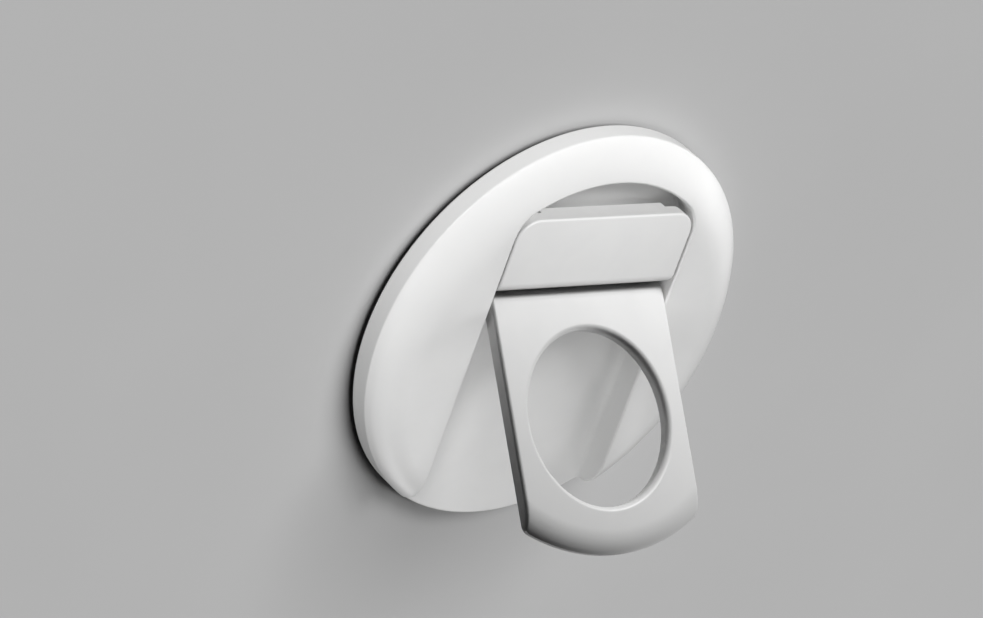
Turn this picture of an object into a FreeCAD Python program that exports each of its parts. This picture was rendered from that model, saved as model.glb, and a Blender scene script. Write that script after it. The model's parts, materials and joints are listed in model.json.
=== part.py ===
import FreeCAD, Part
import math
import os

Vector = FreeCAD.Vector

# A magnetic phone mount: a round body lies with its soft pad on the XY plane, +Z is the body's axis
# and points away from the phone. A ring arm and a laptop hook are hinged in a pocket across its face.
# Millimetres and degrees.

# round body
disc_radius = 30.0
pad_thickness = 0.8
pad_inset = 0.7
pad_edge_round = 0.2
rim_wall = 2.95
dome_rise = 3.15
dome_width = 6.0
flat_shift = 2.0
crease_round = 0.5
back_edge_round = 0.3

# pocket across the face
pocket_width = 31.2
pocket_depth = 3.9
arch_margin = 5.7
arch_corner = 5.0
pocket_cove = 0.5
pocket_edge_round = 0.3

# ring arm, drawn folded into the pocket and then swung open
arm_open = 44.0
arm_side_gap = 0.5
arm_thickness = 1.85
arm_axis_y = 5.33
arm_barrel_radius = 2.0
arm_hole_radius = 11.9
arm_hole_offset = 16.35
arm_edge_round = 0.5
arm_hole_round = 0.8
arm_hole_back_round = 0.3
arm_tip_setback = 0.8
arm_tip_corner = 1.5

# laptop hook
face_drop = 0.1
hook_side_gap = 0.3
barrel_gap = 0.67
hook_barrel_radius = 1.7
hook_thickness = 1.9
hook_corner = 3.3
hook_edge_round = 0.3
finger_gap = 4.9
lip_length = 21.6
lip_width = 2.0
lip_drop = 1.0
hook_pad_thickness = 0.5
hook_pad_margin = 0.6

# hinge pins and what holds them
arm_pin_radius = 0.8
hook_pin_radius = 0.7
pin_seat = 2.2
pin_round = 0.2
running_clearance = 0.05
seat_clearance = 0.05
sleeve_wall = 0.4
sleeve_length = 6.0
keeper_thickness = 1.5
keeper_margin = 0.7
keeper_gap = 0.1
ear_width = 4.6
ear_length = 4.6
ear_corner = 1.0
screw_radius = 0.7
screw_length = 3.6
screw_head_radius = 1.2
screw_head_height = 0.6

# magnet ring
magnet_count = 16
ring_margin = 2.2
magnet_width = 3.8
magnet_thickness = 1.0
magnet_spacing = 0.4
shunt_thickness = 0.5
groove_clearance = 0.1

# levels and places worked out from the sizes above
body_back = pad_thickness
crease_z = body_back + rim_wall
body_front = crease_z + dome_rise
floor_z = body_front - pocket_depth
pocket_half = pocket_width / 2
arch_radius = disc_radius - arch_margin
face_z = body_front - face_drop
arm_half = pocket_half - arm_side_gap
arm_axis_z = face_z - arm_barrel_radius
arm_back_z = face_z - arm_thickness
arm_middle_z = face_z - arm_thickness / 2
hook_half = pocket_half - hook_side_gap
hook_axis_y = arm_axis_y + arm_barrel_radius + barrel_gap + hook_barrel_radius
hook_axis_z = face_z - hook_barrel_radius
hook_back_z = face_z - hook_thickness
hook_free_y = arch_radius - finger_gap
lip_z = hook_back_z - lip_drop
ring_outer = disc_radius - ring_margin
ring_inner = ring_outer - magnet_width
shunt_z = body_back + magnet_thickness
groove_top = shunt_z + shunt_thickness
pin_end = pocket_half + pin_seat
keeper_low_y = arm_axis_y - arm_barrel_radius - keeper_margin
keeper_high_y = hook_axis_y + hook_barrel_radius + keeper_margin
keeper_half = pin_end + seat_clearance
keeper_top = body_back + keeper_thickness
ear_x = pocket_half + ear_width / 2
ear_y = keeper_low_y - ear_length / 2

X_AXIS = Vector(1, 0, 0)
Y_AXIS = Vector(0, 1, 0)
Z_AXIS = Vector(0, 0, 1)
ORIGIN = Vector(0, 0, 0)
TOLERANCE = 1e-6


def same(a, b):
    return abs(a - b) < TOLERANCE


def box(x0, x1, y0, y1, z0, z1):
    return Part.makeBox(x1 - x0, y1 - y0, z1 - z0, Vector(x0, y0, z0))


def rod(radius, x0, x1, y, z):
    return Part.makeCylinder(radius, x1 - x0, Vector(x0, y, z), X_AXIS)


def post(radius, x, y, z0, z1):
    return Part.makeCylinder(radius, z1 - z0, Vector(x, y, z0), Z_AXIS)


def ring(inner, outer, z0, z1):
    return post(outer, 0, 0, z0, z1).cut(post(inner, 0, 0, z0, z1))


def arc(a, b, c):
    return Part.Arc(a, b, c).toShape()


def line(a, b):
    return Part.makeLine(a, b)


def arc_about(centre, radius, start, end, plane_x, plane_y):
    # an arc from start to end, in degrees, in the plane of two unit vectors
    def at(angle):
        turn = math.radians(angle)
        return centre + plane_x * (radius * math.cos(turn)) + plane_y * (radius * math.sin(turn))
    return arc(at(start), at((start + end) / 2), at(end))


def solid_from(edges, sweep):
    return Part.Face(Part.Wire(Part.__sortEdges__(edges))).extrude(sweep)


def edges_where(shape, test):
    chosen = []
    for edge in shape.Edges:
        middle = edge.valueAt((edge.FirstParameter + edge.LastParameter) / 2)
        if test(edge, middle):
            chosen.append(edge)
    return chosen


def upright(edge):
    ends = [vertex.Point for vertex in edge.Vertexes]
    return len(ends) == 2 and same((ends[0] - ends[1]).cross(Z_AXIS).Length, 0)


def rounded_plate(x0, x1, y0, y1, z0, z1, corner):
    plate = box(x0, x1, y0, y1, z0, z1)
    return plate.makeFillet(corner, edges_where(plate, lambda edge, middle: upright(edge)))


def domed_disc(back):
    # side wall and a dome over it, skewed so that its flat top lies nearer to the arm's tip
    crease = back + rim_wall
    front = crease + dome_rise
    wall = post(disc_radius, 0, 0, back, crease)
    wall = wall.makeFillet(back_edge_round, edges_where(wall, lambda edge, middle: same(middle.z, back)))
    dome_radius = (dome_width ** 2 + dome_rise ** 2) / (2 * dome_rise)
    dome_centre = Vector(disc_radius - dome_width, 0, front - dome_radius)
    lean = math.degrees(math.atan2(dome_radius - dome_rise, dome_width))
    curve = arc_about(dome_centre, dome_radius, lean, 90, X_AXIS, Z_AXIS)
    slip = flat_shift / dome_rise
    skew = FreeCAD.Matrix(1, 0, 0, 0, 0, 1, -slip, slip * crease, 0, 0, 1, 0, 0, 0, 0, 1)
    flank = curve.revolve(ORIGIN, Z_AXIS, 360).transformGeometry(skew)
    caps = [Part.Face(Part.Wire(edge)) for edge in flank.Edges if edge.isClosed()]
    skin = Part.Shell([flank] + caps)
    skin.sewShape()
    body = wall.fuse(Part.Solid(skin)).removeSplitter()
    return body.makeFillet(crease_round, edges_where(body, lambda edge, middle: same(middle.z, crease)))


def arched_block(half, arch, corner, z, height):
    # straight sides and an arched end that follows the disc's edge, with rounded corners
    corner_x = half - corner
    corner_y = math.sqrt((arch - corner) ** 2 - corner_x ** 2)
    lean = math.degrees(math.atan2(corner_y, corner_x))
    left_foot = Vector(-half, -2 * disc_radius, z)
    right_foot = Vector(half, -2 * disc_radius, z)
    edges = [
        arc_about(Vector(corner_x, corner_y, z), corner, 0, lean, X_AXIS, Y_AXIS),
        arc_about(Vector(0, 0, z), arch, lean, 180 - lean, X_AXIS, Y_AXIS),
        arc_about(Vector(-corner_x, corner_y, z), corner, 180 - lean, 180, X_AXIS, Y_AXIS),
        line(Vector(-half, corner_y, z), left_foot),
        line(left_foot, right_foot),
        line(right_foot, Vector(half, corner_y, z)),
    ]
    return solid_from(edges, Vector(0, 0, height))


def pocket_cutter():
    # the pocket with a coved floor, open past the rim
    cutter = arched_block(pocket_half, arch_radius, arch_corner, floor_z, 2 * pocket_depth)
    open_end = -2 * disc_radius
    walls = edges_where(cutter, lambda edge, middle: same(middle.z, floor_z) and not same(middle.y, open_end))
    return cutter.makeFillet(pocket_cove, walls)


def pocket_mouth(edge, middle):
    # edges where the pocket breaks out of the body's front and rim
    radius = math.hypot(middle.x, middle.y)
    at_front = middle.z > floor_z + pocket_cove and not upright(edge)
    above_floor = middle.z > floor_z - TOLERANCE
    between_walls = abs(middle.x) < pocket_half + TOLERANCE
    at_rim = same(radius, disc_radius) and above_floor and between_walls
    wall = same(abs(middle.x), pocket_half)
    arch = abs(middle.x) < pocket_half and middle.y > 0
    return at_rim or (at_front and (wall or arch))


def pin_slot(radius, y, z):
    # slot in the pocket's side walls, open to the back, that a pin drops into
    slot_radius = radius + seat_clearance
    slot = rod(slot_radius, -keeper_half, keeper_half, y, z)
    return slot.fuse(box(-keeper_half, keeper_half, y - slot_radius, y + slot_radius, body_back, z))


def keeper_outline(gap, top):
    # the keeper's plate and its two screw ears, grown by a gap on every side
    half = keeper_half + gap
    plate = rounded_plate(-half, half, keeper_low_y - gap, keeper_high_y + gap, body_back, top, ear_corner)
    for side in (-1, 1):
        x = side * ear_x
        ear = rounded_plate(
            x - ear_width / 2 - gap, x + ear_width / 2 + gap,
            keeper_low_y - ear_length - gap, keeper_low_y + ear_length + gap, body_back, top, ear_corner)
        plate = plate.fuse(ear)
    return plate.removeSplitter()


def make_housing():
    body = domed_disc(body_back).cut(pocket_cutter())
    body = body.makeFillet(pocket_edge_round, edges_where(body, pocket_mouth))
    groove = ring(ring_inner - groove_clearance, ring_outer + groove_clearance, body_back, groove_top)
    window_top = floor_z + pocket_cove
    window = box(-pocket_half, pocket_half, keeper_low_y, keeper_high_y, body_back, window_top)
    cuts = [groove, keeper_outline(keeper_gap, keeper_top), window]
    cuts.append(pin_slot(arm_pin_radius, arm_axis_y, arm_axis_z))
    cuts.append(pin_slot(hook_pin_radius, hook_axis_y, hook_axis_z))
    for side in (-1, 1):
        hole_top = body_back + screw_length + seat_clearance
        cuts.append(post(screw_radius + seat_clearance, side * ear_x, ear_y, body_back, hole_top))
    return body.cut(cuts)


def make_contact_pad():
    pad = post(disc_radius - pad_inset, 0, 0, 0, pad_thickness)
    return pad.makeFillet(pad_edge_round, edges_where(pad, lambda edge, middle: same(middle.z, 0)))


def make_magnet(index):
    # one arc of the ring, with a straight gap between neighbours
    pitch = 360 / magnet_count
    z0 = body_back
    z1 = body_back + magnet_thickness
    whole = ring(ring_inner, ring_outer, z0, z1)
    wedge_reach = 2 * ring_outer
    half_turn = math.radians(pitch / 2)
    tip = Vector(magnet_spacing / 2 / math.sin(half_turn), 0, z0)
    low = tip + Vector(wedge_reach * math.cos(half_turn), -wedge_reach * math.sin(half_turn), 0)
    high = tip + Vector(wedge_reach * math.cos(half_turn), wedge_reach * math.sin(half_turn), 0)
    wedge = Part.Face(Part.makePolygon([tip, low, high, tip])).extrude(Vector(0, 0, magnet_thickness))
    magnet = whole.common(wedge)
    magnet.rotate(ORIGIN, Z_AXIS, pitch * index)
    return magnet


def make_shunt_ring():
    return ring(ring_inner, ring_outer, shunt_z, groove_top)


def make_pin(radius, y, z):
    pin = rod(radius, -pin_end, pin_end, y, z)
    ends = edges_where(pin, lambda edge, middle: same(abs(middle.x), pin_end))
    return pin.makeFillet(pin_round, ends)


def make_keeper():
    keeper = keeper_outline(0, keeper_top)
    seats = ((arm_pin_radius, arm_axis_y, arm_axis_z), (hook_pin_radius, hook_axis_y, hook_axis_z))
    for radius, y, z in seats:
        for side in (-1, 1):
            inner = side * (pocket_half + keeper_gap)
            outer = side * (pin_end - keeper_gap)
            prop = box(min(inner, outer), max(inner, outer), y - radius, y + radius, body_back, z)
            keeper = keeper.fuse(prop)
        keeper = keeper.cut(rod(radius + seat_clearance, -keeper_half, keeper_half, y, z))
    for side in (-1, 1):
        x = side * ear_x
        keeper = keeper.cut(post(screw_radius + seat_clearance, x, ear_y, body_back, keeper_top))
        head_top = body_back + screw_head_height
        keeper = keeper.cut(post(screw_head_radius + seat_clearance, x, ear_y, body_back, head_top))
    return keeper.removeSplitter()


def make_keeper_screws():
    screws = []
    for side in (-1, 1):
        x = side * ear_x
        head = post(screw_head_radius, x, ear_y, body_back, body_back + screw_head_height)
        shank = post(screw_radius, x, ear_y, body_back, body_back + screw_length)
        screws.append(head.fuse(shank).removeSplitter())
    return Part.makeCompound(screws)


def barrel_blank(half, axis_y, axis_z, radius, back_z, free_y):
    # plate with a round barrel along one edge, extruded across the pocket
    side = 1 if free_y > axis_y else -1
    back_y = axis_y + side * math.sqrt(radius ** 2 - (axis_z - back_z) ** 2)
    x = -half
    crown = Vector(x, axis_y, axis_z + radius)
    outer = Vector(x, axis_y - side * radius, axis_z)
    keel = Vector(x, axis_y, axis_z - radius)
    inner = Vector(x, back_y, back_z)
    turn = math.atan2(back_z - axis_z, abs(back_y - axis_y))
    middle_turn = (turn - math.pi / 2) / 2
    between_y = axis_y + side * radius * math.cos(middle_turn)
    between = Vector(x, between_y, axis_z + radius * math.sin(middle_turn))
    slant = radius * math.sqrt(0.5)
    edges = [
        arc(crown, Vector(x, axis_y - side * slant, axis_z + slant), outer),
        arc(outer, Vector(x, axis_y - side * slant, axis_z - slant), keel),
        arc(keel, between, inner),
        line(inner, Vector(x, free_y, back_z)),
        line(Vector(x, free_y, back_z), Vector(x, free_y, axis_z + radius)),
        line(Vector(x, free_y, axis_z + radius), crown),
    ]
    return solid_from(edges, Vector(2 * half, 0, 0))


def arm_front_side(edge, middle):
    # long edges of the arm's sides, over the barrel and along the front
    at_side = same(abs(middle.x), arm_half)
    return at_side and (middle.z > arm_middle_z or middle.y > arm_axis_y)


def make_ring_arm():
    # the foot carries on the body's dome, so the folded arm fills the gap in the rim
    blank = barrel_blank(arm_half, arm_axis_y, arm_axis_z, arm_barrel_radius, arm_back_z, -2 * disc_radius)
    arm = blank.common(domed_disc(body_back - face_drop))
    hole_y = arm_axis_y - arm_hole_offset
    arm = arm.cut(post(arm_hole_radius, 0, hole_y, 0, 2 * body_front))
    sides = edges_where(arm, arm_front_side)
    arm = arm.makeFillet(arm_edge_round, sides)
    outline = arched_block(arm_half, disc_radius - arm_tip_setback, arm_tip_corner, 0, 2 * body_front)
    outline.rotate(ORIGIN, Z_AXIS, 180)
    arm = arm.common(outline)

    def hole_rim(edge, middle):
        return same(math.hypot(middle.x, middle.y - hole_y), arm_hole_radius) and not upright(edge)

    rims = edges_where(arm, lambda edge, middle: hole_rim(edge, middle) and middle.z < arm_middle_z)
    arm = arm.makeFillet(arm_hole_back_round, rims)
    rims = edges_where(arm, lambda edge, middle: hole_rim(edge, middle) and same(middle.z, face_z))
    arm = arm.makeFillet(arm_hole_round, rims)
    arm = arm.cut(rod(arm_pin_radius + running_clearance, -arm_half, arm_half, arm_axis_y, arm_axis_z))
    for x0, x1 in ((-arm_half, sleeve_length - arm_half), (arm_half - sleeve_length, arm_half)):
        arm = arm.cut(rod(arm_pin_radius + running_clearance + sleeve_wall, x0, x1, arm_axis_y, arm_axis_z))
    return arm


def make_sleeve(x0, x1):
    bore = arm_pin_radius + running_clearance
    outer = rod(bore + sleeve_wall - seat_clearance / 2, x0, x1, arm_axis_y, arm_axis_z)
    return outer.cut(rod(bore, x0, x1, arm_axis_y, arm_axis_z))


def swing_open(shape):
    turned = shape.copy()
    turned.rotate(Vector(0, arm_axis_y, arm_axis_z), X_AXIS, -arm_open)
    return turned


def make_laptop_hook():
    plate = barrel_blank(hook_half, hook_axis_y, hook_axis_z, hook_barrel_radius, hook_back_z, hook_free_y)
    corners = edges_where(plate, lambda edge, middle: upright(edge) and same(middle.y, hook_free_y))
    plate = plate.makeFillet(hook_corner, corners)
    lip = box(-lip_length / 2, lip_length / 2, hook_free_y - lip_width, hook_free_y, lip_z, face_z)
    hook = plate.fuse(lip).removeSplitter()

    def front_rim(edge, middle):
        return same(middle.z, face_z) and middle.y > hook_axis_y + TOLERANCE

    hook = hook.makeFillet(hook_edge_round, edges_where(hook, front_rim))
    return hook.cut(rod(hook_pin_radius + running_clearance, -hook_half, hook_half, hook_axis_y, hook_axis_z))


def make_hook_pad():
    low_y = hook_axis_y + hook_barrel_radius + hook_pad_margin
    high_y = hook_free_y - lip_width - hook_pad_margin
    half = lip_length / 2 - hook_pad_margin
    pad_z = hook_back_z - hook_pad_thickness
    return rounded_plate(-half, half, low_y, high_y, pad_z, hook_back_z, hook_pad_margin)


nodes = {
    "housing": make_housing(),
    "contact_pad": make_contact_pad(),
    "shunt_ring": make_shunt_ring(),
    "hinge_keeper": make_keeper(),
    "keeper_screws": make_keeper_screws(),
    "arm_pin": make_pin(arm_pin_radius, arm_axis_y, arm_axis_z),
    "hook_pin": make_pin(hook_pin_radius, hook_axis_y, hook_axis_z),
    "ring_arm": swing_open(make_ring_arm()),
    "friction_sleeve_left": swing_open(make_sleeve(-arm_half, sleeve_length - arm_half)),
    "friction_sleeve_right": swing_open(make_sleeve(arm_half - sleeve_length, arm_half)),
    "laptop_hook": make_laptop_hook(),
    "hook_pad": make_hook_pad(),
}
for index in range(magnet_count):
    nodes["magnet_%02d" % (index + 1)] = make_magnet(index)

os.makedirs("parts", exist_ok=True)
for name, shape in nodes.items():
    shape.exportStep("parts/%s.step" % name)
    print(name, shape.isValid(), len(shape.Solids), round(shape.Volume, 2))
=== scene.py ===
import bpy
import bmesh
import json
import math
from mathutils import Matrix, Vector

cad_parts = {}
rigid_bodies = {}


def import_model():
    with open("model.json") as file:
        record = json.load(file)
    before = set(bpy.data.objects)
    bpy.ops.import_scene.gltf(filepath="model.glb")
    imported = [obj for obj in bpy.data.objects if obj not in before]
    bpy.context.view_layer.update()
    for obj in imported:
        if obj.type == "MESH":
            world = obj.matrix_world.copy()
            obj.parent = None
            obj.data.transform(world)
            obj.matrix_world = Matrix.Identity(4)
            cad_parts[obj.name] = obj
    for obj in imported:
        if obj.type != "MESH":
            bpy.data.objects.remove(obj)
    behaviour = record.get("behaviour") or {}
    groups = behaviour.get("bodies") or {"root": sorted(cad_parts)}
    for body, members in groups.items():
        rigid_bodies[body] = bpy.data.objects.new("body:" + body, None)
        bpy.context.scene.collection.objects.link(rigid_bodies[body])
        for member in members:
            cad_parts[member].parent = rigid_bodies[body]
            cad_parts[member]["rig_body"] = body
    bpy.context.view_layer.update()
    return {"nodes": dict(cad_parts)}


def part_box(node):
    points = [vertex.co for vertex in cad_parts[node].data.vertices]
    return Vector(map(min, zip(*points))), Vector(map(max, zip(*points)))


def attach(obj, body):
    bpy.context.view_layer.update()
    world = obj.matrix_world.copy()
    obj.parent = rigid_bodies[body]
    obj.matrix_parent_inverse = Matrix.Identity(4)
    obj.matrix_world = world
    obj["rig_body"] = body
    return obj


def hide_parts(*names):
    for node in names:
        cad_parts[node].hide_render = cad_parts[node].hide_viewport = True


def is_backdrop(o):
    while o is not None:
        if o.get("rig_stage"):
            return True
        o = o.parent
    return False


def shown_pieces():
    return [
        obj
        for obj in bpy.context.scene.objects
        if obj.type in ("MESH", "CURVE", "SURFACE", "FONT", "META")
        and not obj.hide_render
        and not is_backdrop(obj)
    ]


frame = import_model()
mm = 0.001
print("frame loaded:", len(frame["nodes"]), "CAD nodes")


# helpers for node trees and pieces
def addNode(tree, kind, values=None, **settings):
    node = tree.nodes.new(kind)
    for name, value in settings.items():
        setattr(node, name, value)
    for socket, value in (values or {}).items():
        node.inputs[socket].default_value = value
    return node


def join(tree, source, outName, target, inName):
    tree.links.new(source.outputs[outName], target.inputs[inName])


def newGroup(name, kind, inputs, outputs):
    tree = bpy.data.node_groups.new(name, kind)
    for label, socketType, value in inputs:
        socket = tree.interface.new_socket(label, in_out="INPUT", socket_type=socketType)
        if value is not None:
            socket.default_value = value
    for label, socketType in outputs:
        tree.interface.new_socket(label, in_out="OUTPUT", socket_type=socketType)
    return tree, tree.nodes.new("NodeGroupInput"), tree.nodes.new("NodeGroupOutput")


def addObject(name, mesh):
    piece = bpy.data.objects.new(name, mesh)
    bpy.context.scene.collection.objects.link(piece)
    return piece


# soft shading over rounds, true edges stay crisp
def smoothOver(piece, crease):
    piece.data.shade_smooth()
    piece.data.set_sharp_from_angle(angle=math.radians(crease))
    weighted = piece.modifiers.new("weightedNormals", "WEIGHTED_NORMAL")
    weighted.keep_sharp = True


def settle(piece, nodes):
    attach(piece, frame["nodes"][nodes[0]]["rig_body"])
    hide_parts(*nodes)


# fine eroded mould texture: two sizes of grain added up to one height
coarseRate = 0.22  # as a share of the fine grain's rate


def makeMouldGrain():
    tree, given, result = newGroup(
        "mouldGrain", "ShaderNodeTree",
        [("Grain Size", "NodeSocketFloat", 0.12 * mm), ("Coarse Share", "NodeSocketFloat", 0.35)],
        [("Height", "NodeSocketFloat")])
    place = addNode(tree, "ShaderNodeTexCoord")
    rate = addNode(tree, "ShaderNodeMath", {0: 1.0}, operation="DIVIDE")
    slowRate = addNode(tree, "ShaderNodeMath", {1: coarseRate}, operation="MULTIPLY")
    fine = addNode(tree, "ShaderNodeTexNoise", {"Detail": 2.0, "Roughness": 0.6})
    coarse = addNode(tree, "ShaderNodeTexNoise", {"Detail": 3.0, "Roughness": 0.55})
    mixed = addNode(tree, "ShaderNodeMix", data_type="FLOAT")
    join(tree, given, "Grain Size", rate, 1)
    join(tree, rate, 0, slowRate, 0)
    join(tree, place, "Object", fine, "Vector")
    join(tree, place, "Object", coarse, "Vector")
    join(tree, rate, 0, fine, "Scale")
    join(tree, slowRate, 0, coarse, "Scale")
    join(tree, given, "Coarse Share", mixed, "Factor")
    join(tree, fine, "Fac", mixed, "A")
    join(tree, coarse, "Fac", mixed, "B")
    join(tree, mixed, "Result", result, "Height")
    return tree


# slow drift of tone and gloss over a surface, as pigment and handling leave it
colourA, colourB, colourOut = 6, 7, 2  # a mix node's colour sockets, whose names repeat


def makeToneDrift():
    tree, given, result = newGroup(
        "toneDrift", "ShaderNodeTree",
        [("Light Tone", "NodeSocketColor", (0.8, 0.8, 0.8, 1)),
         ("Deep Tone", "NodeSocketColor", (0.7, 0.7, 0.7, 1)),
         ("Patch Size", "NodeSocketFloat", 9 * mm),
         ("Dull", "NodeSocketFloat", 0.5), ("Glossy", "NodeSocketFloat", 0.4)],
        [("Color", "NodeSocketColor"), ("Roughness", "NodeSocketFloat")])
    place = addNode(tree, "ShaderNodeTexCoord")
    rate = addNode(tree, "ShaderNodeMath", {0: 1.0}, operation="DIVIDE")
    cloud = addNode(tree, "ShaderNodeTexNoise", {"Detail": 4.0, "Roughness": 0.5, "Distortion": 0.3})
    spread = addNode(tree, "ShaderNodeMapRange", {"From Min": 0.3, "From Max": 0.7})
    tone = addNode(tree, "ShaderNodeMix", data_type="RGBA")
    gloss = addNode(tree, "ShaderNodeMix", data_type="FLOAT")
    join(tree, given, "Patch Size", rate, 1)
    join(tree, place, "Object", cloud, "Vector")
    join(tree, rate, 0, cloud, "Scale")
    join(tree, cloud, "Fac", spread, "Value")
    join(tree, spread, "Result", tone, "Factor")
    join(tree, given, "Deep Tone", tone, colourA)
    join(tree, given, "Light Tone", tone, colourB)
    join(tree, spread, "Result", gloss, "Factor")
    join(tree, given, "Dull", gloss, "A")
    join(tree, given, "Glossy", gloss, "B")
    join(tree, tone, colourOut, result, "Color")
    join(tree, gloss, "Result", result, "Roughness")
    return tree


# tool marks: noise drawn out across the cut, so it reads as fine lines
def makeToolLines():
    tree, given, result = newGroup(
        "toolLines", "ShaderNodeTree",
        [("Line Size", "NodeSocketFloat", 0.05 * mm),
         ("Stretch", "NodeSocketVector", (1.0, 0.02, 0.02))],
        [("Height", "NodeSocketFloat")])
    place = addNode(tree, "ShaderNodeTexCoord")
    drawn = addNode(tree, "ShaderNodeVectorMath", operation="MULTIPLY")
    rate = addNode(tree, "ShaderNodeMath", {0: 1.0}, operation="DIVIDE")
    lines = addNode(tree, "ShaderNodeTexNoise", {"Detail": 2.0, "Roughness": 0.7})
    join(tree, place, "Object", drawn, 0)
    join(tree, given, "Stretch", drawn, 1)
    join(tree, given, "Line Size", rate, 1)
    join(tree, drawn, 0, lines, "Vector")
    join(tree, rate, 0, lines, "Scale")
    join(tree, lines, "Fac", result, "Height")
    return tree


mouldGrain = makeMouldGrain()
toneDrift = makeToneDrift()
toolLines = makeToolLines()
print("shader groups built")


# one finish from the groups; what is uniform is set on the shader itself
def makeFinish(name, look):
    material = bpy.data.materials.new(name)
    material.use_nodes = True
    tree = material.node_tree
    shader = tree.nodes["Principled BSDF"]
    drift = addNode(tree, "ShaderNodeGroup", node_tree=toneDrift)
    drift.inputs["Light Tone"].default_value = (*look["light"], 1)
    drift.inputs["Deep Tone"].default_value = (*look["deep"], 1)
    drift.inputs["Patch Size"].default_value = look["patch"] * mm
    drift.inputs["Dull"].default_value = look["rough"][1]
    drift.inputs["Glossy"].default_value = look["rough"][0]
    grain = addNode(tree, "ShaderNodeGroup", node_tree=mouldGrain)
    grain.inputs["Grain Size"].default_value = look["grain"] * mm
    grain.inputs["Coarse Share"].default_value = look["coarse"]
    bump = addNode(tree, "ShaderNodeBump", {"Strength": look["bump"], "Distance": look["depth"] * mm})
    join(tree, drift, "Color", shader, "Base Color")
    join(tree, drift, "Roughness", shader, "Roughness")
    join(tree, bump, "Normal", shader, "Normal")
    if "stretch" in look:
        lines = addNode(tree, "ShaderNodeGroup", node_tree=toolLines)
        lines.inputs["Line Size"].default_value = look["line"] * mm
        lines.inputs["Stretch"].default_value = look["stretch"]
        total = addNode(tree, "ShaderNodeMath", operation="ADD")
        join(tree, grain, "Height", total, 0)
        join(tree, lines, "Height", total, 1)
        join(tree, total, 0, bump, "Height")
    else:
        join(tree, grain, "Height", bump, "Height")
    shader.inputs["Metallic"].default_value = look.get("metal", 0.0)
    shader.inputs["Specular IOR Level"].default_value = look.get("specular", 0.5)
    return material


# finishes: tones are linear, patch, grain, line and depth are millimetres
whiteTones = {"light": (0.80, 0.80, 0.795), "deep": (0.775, 0.775, 0.772)}
shellLook = {**whiteTones, "patch": 8.0, "rough": (0.42, 0.50),
             "grain": 0.11, "coarse": 0.30, "bump": 0.12, "depth": 0.012}
armLook = {**whiteTones, "patch": 6.5, "rough": (0.40, 0.48),
           "grain": 0.10, "coarse": 0.25, "bump": 0.11, "depth": 0.012}
hookLook = {**whiteTones, "patch": 5.0, "rough": (0.40, 0.48),
            "grain": 0.10, "coarse": 0.25, "bump": 0.11, "depth": 0.012}
# pads: near-black silicone tone, which on the contact pad also paints the dark shade band between the
# disc's rim and what it lies on
padShadeLook = {"light": (0.030, 0.030, 0.031), "deep": (0.020, 0.020, 0.021),
           "patch": 5.0, "rough": (0.70, 0.85),
           "grain": 0.15, "coarse": 0.50, "bump": 0.3, "depth": 0.02, "specular": 0.3}
pinLook = {"light": (0.62, 0.62, 0.63), "deep": (0.50, 0.50, 0.52),
           "patch": 2.0, "rough": (0.22, 0.36),
           "grain": 0.05, "coarse": 0.20, "bump": 0.15, "depth": 0.004, "metal": 1.0,
           "line": 0.06, "stretch": (1.0, 0.03, 0.03)}
sleeveLook = {"light": (0.60, 0.42, 0.20), "deep": (0.45, 0.30, 0.14),
              "patch": 1.5, "rough": (0.30, 0.45),
              "grain": 0.06, "coarse": 0.40, "bump": 0.2, "depth": 0.006, "metal": 1.0,
              "line": 0.08, "stretch": (1.0, 0.03, 0.03)}
ringLook = {"light": (0.58, 0.58, 0.60), "deep": (0.44, 0.44, 0.47),
            "patch": 6.0, "rough": (0.28, 0.42),
            "grain": 0.07, "coarse": 0.30, "bump": 0.2, "depth": 0.005, "metal": 1.0,
            "line": 0.10, "stretch": (0.04, 1.0, 1.0)}
magnetLook = {"light": (0.70, 0.69, 0.67), "deep": (0.56, 0.55, 0.54),
              "patch": 3.0, "rough": (0.16, 0.28),
              "grain": 0.08, "coarse": 0.60, "bump": 0.08, "depth": 0.004, "metal": 1.0}
innerLook = {"light": (0.060, 0.060, 0.062), "deep": (0.045, 0.045, 0.046),
             "patch": 6.0, "rough": (0.45, 0.60),
             "grain": 0.14, "coarse": 0.40, "bump": 0.2, "depth": 0.012}
floorLook = {"light": (0.56, 0.56, 0.56), "deep": (0.54, 0.54, 0.54),
             "patch": 60.0, "rough": (0.75, 0.90),
             "grain": 0.50, "coarse": 0.40, "bump": 0.05, "depth": 0.02, "specular": 0.2}

whiteShell = makeFinish("whiteShell", shellLook)
whiteArm = makeFinish("whiteArm", armLook)
whiteHook = makeFinish("whiteHook", hookLook)
softPadShade = makeFinish("softPadShade", padShadeLook)
pinSteel = makeFinish("pinSteel", pinLook)
sleeveBronze = makeFinish("sleeveBronze", sleeveLook)
ringSteel = makeFinish("ringSteel", ringLook)
magnetPlate = makeFinish("magnetPlate", magnetLook)
innerPlastic = makeFinish("innerPlastic", innerLook)
paleFloor = makeFinish("paleFloor", floorLook)
print("finishes built")

# rigid solids carried over from the frame as welded meshes
carried = {"weldGap": 0.0002 * mm, "crease": 40}


def carryOver(node, name, material):
    mesh = frame["nodes"][node].data.copy()
    mesh.name = name
    form = bmesh.new()
    form.from_mesh(mesh)
    bmesh.ops.remove_doubles(form, verts=form.verts, dist=carried["weldGap"])
    form.to_mesh(mesh)
    form.free()
    if "custom_normal" in mesh.attributes:
        mesh.attributes.remove(mesh.attributes["custom_normal"])
    mesh.materials.clear()
    mesh.materials.append(material)
    piece = addObject(name, mesh)
    smoothOver(piece, carried["crease"])
    settle(piece, [node])


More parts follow.
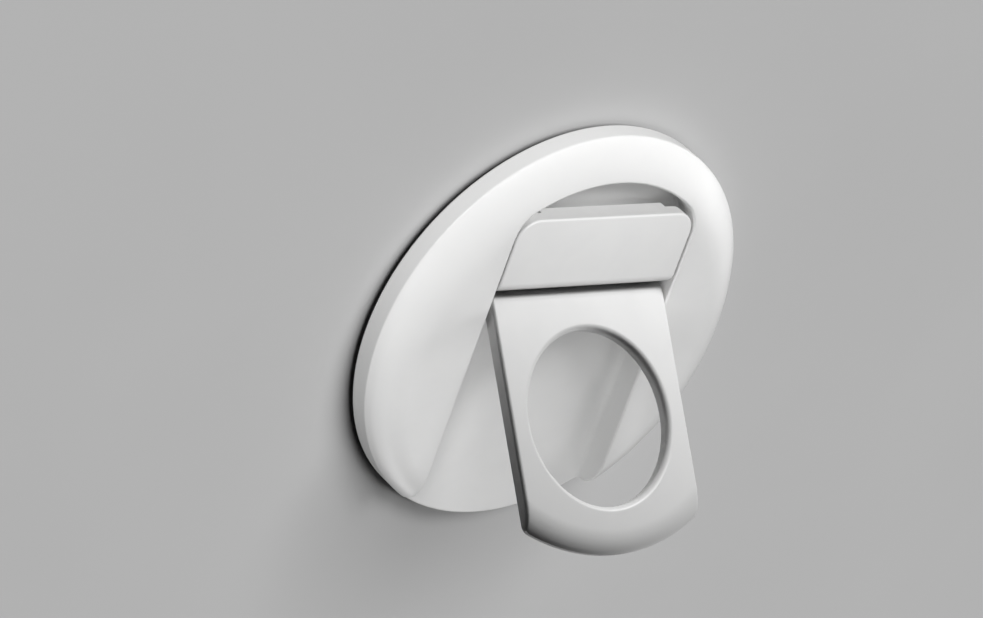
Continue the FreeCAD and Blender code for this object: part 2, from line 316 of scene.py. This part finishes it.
carryOver("housing", "shell", whiteShell)
carryOver("ring_arm", "ringArm", whiteArm)
carryOver("laptop_hook", "hookPlate", whiteHook)
carryOver("arm_pin", "armPin", pinSteel)
carryOver("hook_pin", "hookPin", pinSteel)
carryOver("shunt_ring", "shuntRing", ringSteel)
carryOver("hinge_keeper", "hingeKeeper", innerPlastic)
carryOver("friction_sleeve_left", "sleeveLeft", sleeveBronze)
carryOver("friction_sleeve_right", "sleeveRight", sleeveBronze)
print("mouldings and turned pieces dressed")


# soft pads: rings of a rounded outline, drawn in over a soft edge and a low crown
contactPadForm = {"corner": 29.3, "edge": 0.25, "bulge": 0.05, "crown": 0.0, "steps": 40}
hookPadForm = {"corner": 0.9, "edge": 0.18, "bulge": 0.03, "crown": 0.04, "steps": 8}
# for both: insets in edge widths, the drop as a share of the crown
padShape = {"flatInset": 6, "shoulderInset": 3, "shoulderDrop": 0.3, "edgeSteps": 4, "leastCorner": 0.05}


def roundedOutline(centre, half, corner, z, steps):
    points = []
    for quarter in range(4):
        signX = 1 if quarter in (0, 3) else -1
        signY = 1 if quarter in (0, 1) else -1
        middle = Vector((centre.x + signX * (half.x - corner), centre.y + signY * (half.y - corner), z))
        for step in range(steps + 1):
            turn = math.pi / 2 * (quarter + step / steps)
            points.append(middle + Vector((math.cos(turn), math.sin(turn), 0)) * corner)
    return points


# how far a soft edge draws in and how deep it lies, from the open face round to the held face
def padSection(form, thickness):
    edge = form["edge"] * mm
    crown = form["crown"] * mm
    section = [(edge * padShape["flatInset"], 0.0),
               (edge * padShape["shoulderInset"], crown * padShape["shoulderDrop"])]
    for step in range(padShape["edgeSteps"] + 1):
        turn = math.pi / 2 * step / padShape["edgeSteps"]
        section.append((edge * (1 - math.sin(turn)), crown + edge * (1 - math.cos(turn))))
    section.append((-form["bulge"] * mm, (crown + edge + thickness) / 2))
    section.append((0.0, thickness))
    return section


def makePad(node, name, form):
    low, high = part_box(node)
    centre = (low + high) / 2
    half = (high - low) / 2
    inset = form["bulge"] * mm
    rings = []
    for drawIn, depth in padSection(form, high.z - low.z):
        shrink = Vector((drawIn + inset, drawIn + inset, 0))
        corner = max(form["corner"] * mm - drawIn - inset, padShape["leastCorner"] * mm)
        rings.append(roundedOutline(centre, half - shrink, corner, low.z + depth, form["steps"]))
    skin = bmesh.new()
    loops = [[skin.verts.new(point) for point in ring] for ring in rings]
    for inner, outer in zip(loops, loops[1:]):
        for index in range(len(inner)):
            after = (index + 1) % len(inner)
            skin.faces.new((inner[index], inner[after], outer[after], outer[index]))
    skin.faces.new(loops[0][::-1])
    skin.faces.new(loops[-1])
    bmesh.ops.remove_doubles(skin, verts=skin.verts, dist=carried["weldGap"])
    bmesh.ops.recalc_face_normals(skin, faces=skin.faces)
    mesh = bpy.data.meshes.new(name)
    skin.to_mesh(mesh)
    skin.free()
    mesh.materials.append(softPadShade)
    piece = addObject(name, mesh)
    smoothOver(piece, carried["crease"])
    settle(piece, [node])


makePad("contact_pad", "contactPad", contactPadForm)
makePad("hook_pad", "hookPad", hookPadForm)
print("soft pads made")


# a node tree on an empty mesh, turned into a plain mesh
def growMesh(name, tree, values):
    piece = addObject(name, bpy.data.meshes.new(name))
    modifier = piece.modifiers.new("shape", "NODES")
    modifier.node_group = tree
    for item in tree.interface.items_tree:
        if item.in_out == "INPUT" and item.name in values:
            modifier[item.identifier] = values[item.name]
    graph = bpy.context.evaluated_depsgraph_get()
    mesh = bpy.data.meshes.new_from_object(piece.evaluated_get(graph))
    piece.modifiers.remove(modifier)
    piece.data = mesh
    return piece


# chain of math nodes: each takes a socket or a plain number
def mathNode(tree, operation, first, second=None):
    node = addNode(tree, "ShaderNodeMath", operation=operation)
    for index, value in enumerate((first, second)):
        if isinstance(value, bpy.types.NodeSocket):
            tree.links.new(value, node.inputs[index])
        elif value is not None:
            node.inputs[index].default_value = value
    return node.outputs[0]


# ring of arc magnets with straight gaps, each with a small ground edge
magnetForm = {"width": 3.8, "gap": 0.4, "arcSteps": 12, "weldGap": 0.001,
              "groundEdge": 0.1, "edgeSteps": 2, "edgeAngle": 50}


def makeMagnetTree():
    tree, given, result = newGroup(
        "magnetRing", "GeometryNodeTree",
        [("Count", "NodeSocketInt", 16), ("Arc Steps", "NodeSocketInt", 12),
         ("Outer Radius", "NodeSocketFloat", 28 * mm), ("Width", "NodeSocketFloat", 4 * mm),
         ("Gap", "NodeSocketFloat", 0.4 * mm), ("Base", "NodeSocketFloat", 0.0),
         ("Thickness", "NodeSocketFloat", 1 * mm), ("Material", "NodeSocketMaterial", None)],
        [("Geometry", "NodeSocketGeometry")])
    sheet = addNode(tree, "GeometryNodeMeshGrid", {"Size X": 1.0, "Size Y": 1.0, "Vertices Y": 2})
    join(tree, given, "Arc Steps", sheet, "Vertices X")
    spot = addNode(tree, "ShaderNodeSeparateXYZ")
    tree.links.new(addNode(tree, "GeometryNodeInputPosition").outputs[0], spot.inputs[0])
    inward = mathNode(tree, "SUBTRACT", spot.outputs["Y"], 0.5)
    across = mathNode(tree, "MULTIPLY", given.outputs["Width"], inward)
    radius = mathNode(tree, "ADD", given.outputs["Outer Radius"], across)
    pitch = mathNode(tree, "DIVIDE", 2 * math.pi, given.outputs["Count"])
    halfGap = mathNode(tree, "DIVIDE", given.outputs["Gap"], 2.0)
    lost = mathNode(tree, "ARCSINE", mathNode(tree, "DIVIDE", halfGap, radius))
    sweep = mathNode(tree, "SUBTRACT", pitch, mathNode(tree, "MULTIPLY", lost, 2.0))
    turn = mathNode(tree, "MULTIPLY", sweep, mathNode(tree, "MULTIPLY", spot.outputs["X"], -1.0))
    bent = addNode(tree, "ShaderNodeCombineXYZ")
    tree.links.new(mathNode(tree, "MULTIPLY", radius, mathNode(tree, "COSINE", turn)), bent.inputs["X"])
    tree.links.new(mathNode(tree, "MULTIPLY", radius, mathNode(tree, "SINE", turn)), bent.inputs["Y"])
    join(tree, given, "Base", bent, "Z")
    arcSheet = addNode(tree, "GeometryNodeSetPosition")
    join(tree, sheet, "Mesh", arcSheet, "Geometry")
    join(tree, bent, 0, arcSheet, "Position")
    raised = addNode(tree, "GeometryNodeExtrudeMesh", {"Individual": False})
    join(tree, arcSheet, "Geometry", raised, "Mesh")
    join(tree, given, "Thickness", raised, "Offset Scale")
    under = addNode(tree, "GeometryNodeFlipFaces")
    join(tree, arcSheet, "Geometry", under, "Mesh")
    closed = addNode(tree, "GeometryNodeJoinGeometry")
    join(tree, raised, "Mesh", closed, "Geometry")
    join(tree, under, "Mesh", closed, "Geometry")
    welded = addNode(tree, "GeometryNodeMergeByDistance", {"Distance": magnetForm["weldGap"] * mm})
    join(tree, closed, "Geometry", welded, "Geometry")
    places = addNode(tree, "GeometryNodePoints")
    join(tree, given, "Count", places, "Count")
    facing = addNode(tree, "ShaderNodeCombineXYZ")
    index = addNode(tree, "GeometryNodeInputIndex").outputs[0]
    tree.links.new(mathNode(tree, "MULTIPLY", index, pitch), facing.inputs["Z"])
    copies = addNode(tree, "GeometryNodeInstanceOnPoints")
    join(tree, places, 0, copies, "Points")
    join(tree, welded, "Geometry", copies, "Instance")
    join(tree, facing, 0, copies, "Rotation")
    real = addNode(tree, "GeometryNodeRealizeInstances")
    join(tree, copies, "Instances", real, "Geometry")
    finish = addNode(tree, "GeometryNodeSetMaterial")
    join(tree, real, "Geometry", finish, "Geometry")
    join(tree, given, "Material", finish, "Material")
    join(tree, finish, "Geometry", result, "Geometry")
    return tree


def makeMagnets():
    nodes = sorted(node for node in frame["nodes"] if node.startswith("magnet_"))
    low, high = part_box(nodes[0])
    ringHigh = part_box("shunt_ring")[1]
    piece = growMesh("magnetRing", makeMagnetTree(), {
        "Count": len(nodes), "Outer Radius": ringHigh.x, "Width": magnetForm["width"] * mm,
        "Gap": magnetForm["gap"] * mm, "Base": low.z, "Thickness": high.z - low.z,
        "Arc Steps": magnetForm["arcSteps"], "Material": magnetPlate})
    ground = piece.modifiers.new("groundEdge", "BEVEL")
    ground.width = magnetForm["groundEdge"] * mm
    ground.segments = magnetForm["edgeSteps"]
    ground.limit_method = "ANGLE"
    ground.angle_limit = math.radians(magnetForm["edgeAngle"])
    smoothOver(piece, carried["crease"])
    settle(piece, nodes)


makeMagnets()
print("magnet ring made")


# keeper screws: cross recess in the head, thread wound round the shank
screwForm = {"headHeight": 0.6, "shank": 0.7, "threadDepth": 0.12, "pitch": 0.5, "recess": (1.3, 0.32, 0.3),
             "headSides": 48, "shankSides": 32, "ridgeSides": 4, "turnSteps": 24, "count": 2}


def makeScrewTree():
    tree, given, result = newGroup(
        "keeperScrew", "GeometryNodeTree",
        [("Head Radius", "NodeSocketFloat", 1.2 * mm), ("Head Height", "NodeSocketFloat", 0.6 * mm),
         ("Shank Radius", "NodeSocketFloat", 0.7 * mm), ("Length", "NodeSocketFloat", 3.6 * mm),
         ("Thread Depth", "NodeSocketFloat", 0.1 * mm), ("Pitch", "NodeSocketFloat", 0.5 * mm),
         ("Recess", "NodeSocketVector", (1.3 * mm, 0.3 * mm, 0.3 * mm)),
         ("Spread", "NodeSocketFloat", 18 * mm), ("Place", "NodeSocketVector", (0, 0, 0)),
         ("Material", "NodeSocketMaterial", None)],
        [("Geometry", "NodeSocketGeometry")])

    def lift(mesh, outName, height):
        moved = addNode(tree, "GeometryNodeTransform")
        rise = addNode(tree, "ShaderNodeCombineXYZ")
        join(tree, mesh, outName, moved, "Geometry")
        tree.links.new(height, rise.inputs["Z"])
        join(tree, rise, 0, moved, "Translation")
        return moved

    headHeight = given.outputs["Head Height"]
    pitch = given.outputs["Pitch"]
    head = addNode(tree, "GeometryNodeMeshCylinder", {"Vertices": screwForm["headSides"]})
    join(tree, given, "Head Radius", head, "Radius")
    join(tree, given, "Head Height", head, "Depth")
    headUp = lift(head, "Mesh", mathNode(tree, "DIVIDE", headHeight, 2.0))
    bar = addNode(tree, "GeometryNodeMeshCube")
    join(tree, given, "Recess", bar, "Size")
    barTurned = addNode(tree, "GeometryNodeTransform", {"Rotation": (0, 0, math.pi / 2)})
    join(tree, bar, "Mesh", barTurned, "Geometry")
    recessed = addNode(tree, "GeometryNodeMeshBoolean", operation="DIFFERENCE")
    join(tree, headUp, "Geometry", recessed, "Mesh 1")
    join(tree, bar, "Mesh", recessed, "Mesh 2")
    join(tree, barTurned, "Geometry", recessed, "Mesh 2")
    core = addNode(tree, "GeometryNodeMeshCylinder", {"Vertices": screwForm["shankSides"]})
    coreRadius = mathNode(tree, "SUBTRACT", given.outputs["Shank Radius"], given.outputs["Thread Depth"])
    shankLength = mathNode(tree, "SUBTRACT", given.outputs["Length"], headHeight)
    tree.links.new(coreRadius, core.inputs["Radius"])
    tree.links.new(shankLength, core.inputs["Depth"])
    coreRise = mathNode(tree, "ADD", headHeight, mathNode(tree, "DIVIDE", shankLength, 2.0))
    coreUp = lift(core, "Mesh", coreRise)
    threadRun = mathNode(tree, "SUBTRACT", shankLength, mathNode(tree, "MULTIPLY", pitch, 0.5))
    helix = addNode(tree, "GeometryNodeCurveSpiral", {"Resolution": screwForm["turnSteps"]})
    tree.links.new(mathNode(tree, "DIVIDE", threadRun, pitch), helix.inputs["Rotations"])
    tree.links.new(coreRadius, helix.inputs["Start Radius"])
    tree.links.new(coreRadius, helix.inputs["End Radius"])
    tree.links.new(threadRun, helix.inputs["Height"])
    ridge = addNode(tree, "GeometryNodeCurvePrimitiveCircle", {"Resolution": screwForm["ridgeSides"]})
    join(tree, given, "Thread Depth", ridge, "Radius")
    thread = addNode(tree, "GeometryNodeCurveToMesh", {"Fill Caps": True})
    join(tree, helix, "Curve", thread, "Curve")
    join(tree, ridge, "Curve", thread, "Profile Curve")
    threadUp = lift(thread, "Mesh", headHeight)
    whole = addNode(tree, "GeometryNodeJoinGeometry")
    join(tree, recessed, "Mesh", whole, "Geometry")
    join(tree, coreUp, "Geometry", whole, "Geometry")
    join(tree, threadUp, "Geometry", whole, "Geometry")
    row = addNode(tree, "GeometryNodeMeshLine", {"Count": screwForm["count"]})
    back = addNode(tree, "ShaderNodeCombineXYZ")
    step = addNode(tree, "ShaderNodeCombineXYZ")
    tree.links.new(mathNode(tree, "MULTIPLY", given.outputs["Spread"], -1.0), back.inputs["X"])
    tree.links.new(mathNode(tree, "MULTIPLY", given.outputs["Spread"], 2.0), step.inputs["X"])
    join(tree, back, 0, row, "Start Location")
    join(tree, step, 0, row, "Offset")
    copies = addNode(tree, "GeometryNodeInstanceOnPoints")
    join(tree, row, "Mesh", copies, "Points")
    join(tree, whole, "Geometry", copies, "Instance")
    seated = addNode(tree, "GeometryNodeTransform")
    join(tree, copies, "Instances", seated, "Geometry")
    join(tree, given, "Place", seated, "Translation")
    real = addNode(tree, "GeometryNodeRealizeInstances")
    join(tree, seated, "Geometry", real, "Geometry")
    finish = addNode(tree, "GeometryNodeSetMaterial")
    join(tree, real, "Geometry", finish, "Geometry")
    join(tree, given, "Material", finish, "Material")
    join(tree, finish, "Geometry", result, "Geometry")
    return tree


def makeScrews():
    low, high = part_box("keeper_screws")
    headRadius = (high.y - low.y) / 2
    length, width, depth = screwForm["recess"]
    piece = growMesh("keeperScrews", makeScrewTree(), {
        "Head Radius": headRadius, "Head Height": screwForm["headHeight"] * mm,
        "Shank Radius": screwForm["shank"] * mm, "Length": high.z - low.z,
        "Thread Depth": screwForm["threadDepth"] * mm, "Pitch": screwForm["pitch"] * mm,
        "Recess": (length * mm, width * mm, 2 * depth * mm), "Spread": high.x - headRadius,
        "Place": (0, (low.y + high.y) / 2, low.z), "Material": ringSteel})
    smoothOver(piece, carried["crease"])
    settle(piece, ["keeper_screws"])


makeScrews()
print("keeper screws made")


# pale floor that the pad lies on
floorForm = {"half": 3000}


def makeFloor():
    half = floorForm["half"] * mm
    mesh = bpy.data.meshes.new("floor")
    corners = [(-half, -half, 0), (half, -half, 0), (half, half, 0), (-half, half, 0)]
    mesh.from_pydata(corners, [], [(0, 1, 2, 3)])
    mesh.materials.append(paleFloor)
    piece = addObject("floor", mesh)
    piece.visible_diffuse = False  # throws no light back, so the undersides keep their shade
    piece.visible_glossy = False
    piece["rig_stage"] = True
    return piece


floor = makeFloor()

# camera: millimetres and degrees about the spot on the floor that it looks at
cameraForm = {"target": (-8.38, 1.31, 0.0), "azimuth": -124.14, "elevation": 39.10, "roll": 133.37,
              "distance": 697.63, "lens": 192.53, "sensor": 36.0, "nearest": 10}


def makeCamera():
    data = bpy.data.cameras.new("camera")
    data.lens = cameraForm["lens"]
    data.sensor_width = cameraForm["sensor"]
    data.clip_start = cameraForm["nearest"] * mm
    camera = addObject("camera", data)
    azimuth = math.radians(cameraForm["azimuth"])
    elevation = math.radians(cameraForm["elevation"])
    flat = math.cos(elevation)
    back = Vector((math.sin(azimuth) * flat, -math.cos(azimuth) * flat, math.sin(elevation)))
    place = (Vector(cameraForm["target"]) + back * cameraForm["distance"]) * mm
    aim = (-back).to_track_quat("-Z", "Y").to_matrix().to_4x4()
    roll = Matrix.Rotation(math.radians(cameraForm["roll"]), 4, "Z")
    camera.matrix_world = Matrix.Translation(place) @ aim @ roll
    bpy.context.scene.camera = camera


makeCamera()

# studio lights: turn and height are degrees about the mount, reach and size millimetres, power watts;
# each falls only on the body it names, as flags on stands would have it
discBox = {"fallsOn": "disc", "reach": 420, "size": (170, 170)}
armBox = {**discBox, "fallsOn": "arm"}
hookBox = {**discBox, "fallsOn": "hook"}
softBoxes = {
    "discBack": {**discBox, "turn": 90, "height": 38, "power": 0.64},
    "discCorner": {**discBox, "turn": 135, "height": 38, "power": 0.41},
    "discRim": {**discBox, "turn": 135, "height": 4, "size": (170, 56), "power": 0.66},
    "discFront": {**discBox, "turn": 270, "height": 15, "power": 0.63},
    "discSide": {**discBox, "turn": 315, "height": 38, "power": 0.18},
    "discRight": {**discBox, "turn": 0, "height": 12, "power": 0.48},
    "discKey": {**discBox, "turn": 60, "height": 22, "reach": 120, "size": (110, 50), "power": 0.055},
    "discLeft": {**discBox, "turn": 180, "height": 37, "reach": 100, "size": (50, 40), "power": 0.02},
    "armKey": {**armBox, "turn": 57, "height": 17, "reach": 170, "size": (80, 50), "power": 0.31},
    "armSide": {**armBox, "turn": 180, "height": 12, "power": 0.05},
    "armFill": {**armBox, "turn": 315, "height": 18, "power": 0.65},  # keeps the folded arm white
    "armBack": {**armBox, "turn": 270, "height": -27, "reach": 335, "power": 0.55},
    "hookKey": {**hookBox, "turn": 90, "height": 52, "reach": 114, "size": (70, 40), "power": 0.12},
}
floorSun = {"turn": 75, "height": 55, "reach": 1000, "strength": 3.1, "spread": 50}
lightAim = (0, 3, 5)


def placeLight(name, data, form, fallsOn):
    light = addObject(name, data)
    light.visible_camera = False
    turn = math.radians(form["turn"])
    height = math.radians(form["height"])
    flat = math.cos(height)
    place = Vector((math.cos(turn) * flat, math.sin(turn) * flat, math.sin(height))) * form["reach"]
    facing = (Vector(lightAim) - place).to_track_quat("-Z", "Y").to_matrix().to_4x4()
    light.matrix_world = Matrix.Translation(place * mm) @ facing
    lit = bpy.data.collections.new(name)
    for piece in fallsOn:
        lit.objects.link(piece)
    light.light_linking.receiver_collection = lit
    casters = bpy.data.collections.new(name + "Casters")
    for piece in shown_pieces():
        casters.objects.link(piece)
    light.light_linking.blocker_collection = casters  # the floor blocks no light


def makeLights():
    for name, form in softBoxes.items():
        data = bpy.data.lights.new(name, "AREA")
        data.shape = "RECTANGLE"
        data.size = form["size"][0] * mm
        data.size_y = form["size"][1] * mm
        data.energy = form["power"]
        lit = [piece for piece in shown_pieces() if piece["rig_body"] == form["fallsOn"]]
        placeLight(name, data, form, lit)
    data = bpy.data.lights.new("floorSun", "SUN")
    data.energy = floorSun["strength"]
    data.angle = math.radians(floorSun["spread"])
    placeLight("floorSun", data, floorSun, [floor])


makeLights()

# the backdrop takes the floor's tone and lights nothing
backdrop = {"tone": (0.445, 0.445, 0.445), "strength": 1.0}


def makeBackdrop():
    world = bpy.data.worlds.new("backdrop")
    bpy.context.scene.world = world
    world.use_nodes = True
    shader = world.node_tree.nodes["Background"]
    shader.inputs["Color"].default_value = (*backdrop["tone"], 1)
    shader.inputs["Strength"].default_value = backdrop["strength"]
    world.cycles_visibility.diffuse = False
    world.cycles_visibility.glossy = False


makeBackdrop()
bpy.context.scene.view_settings.view_transform = "Standard"
print("floor, camera and lights placed")
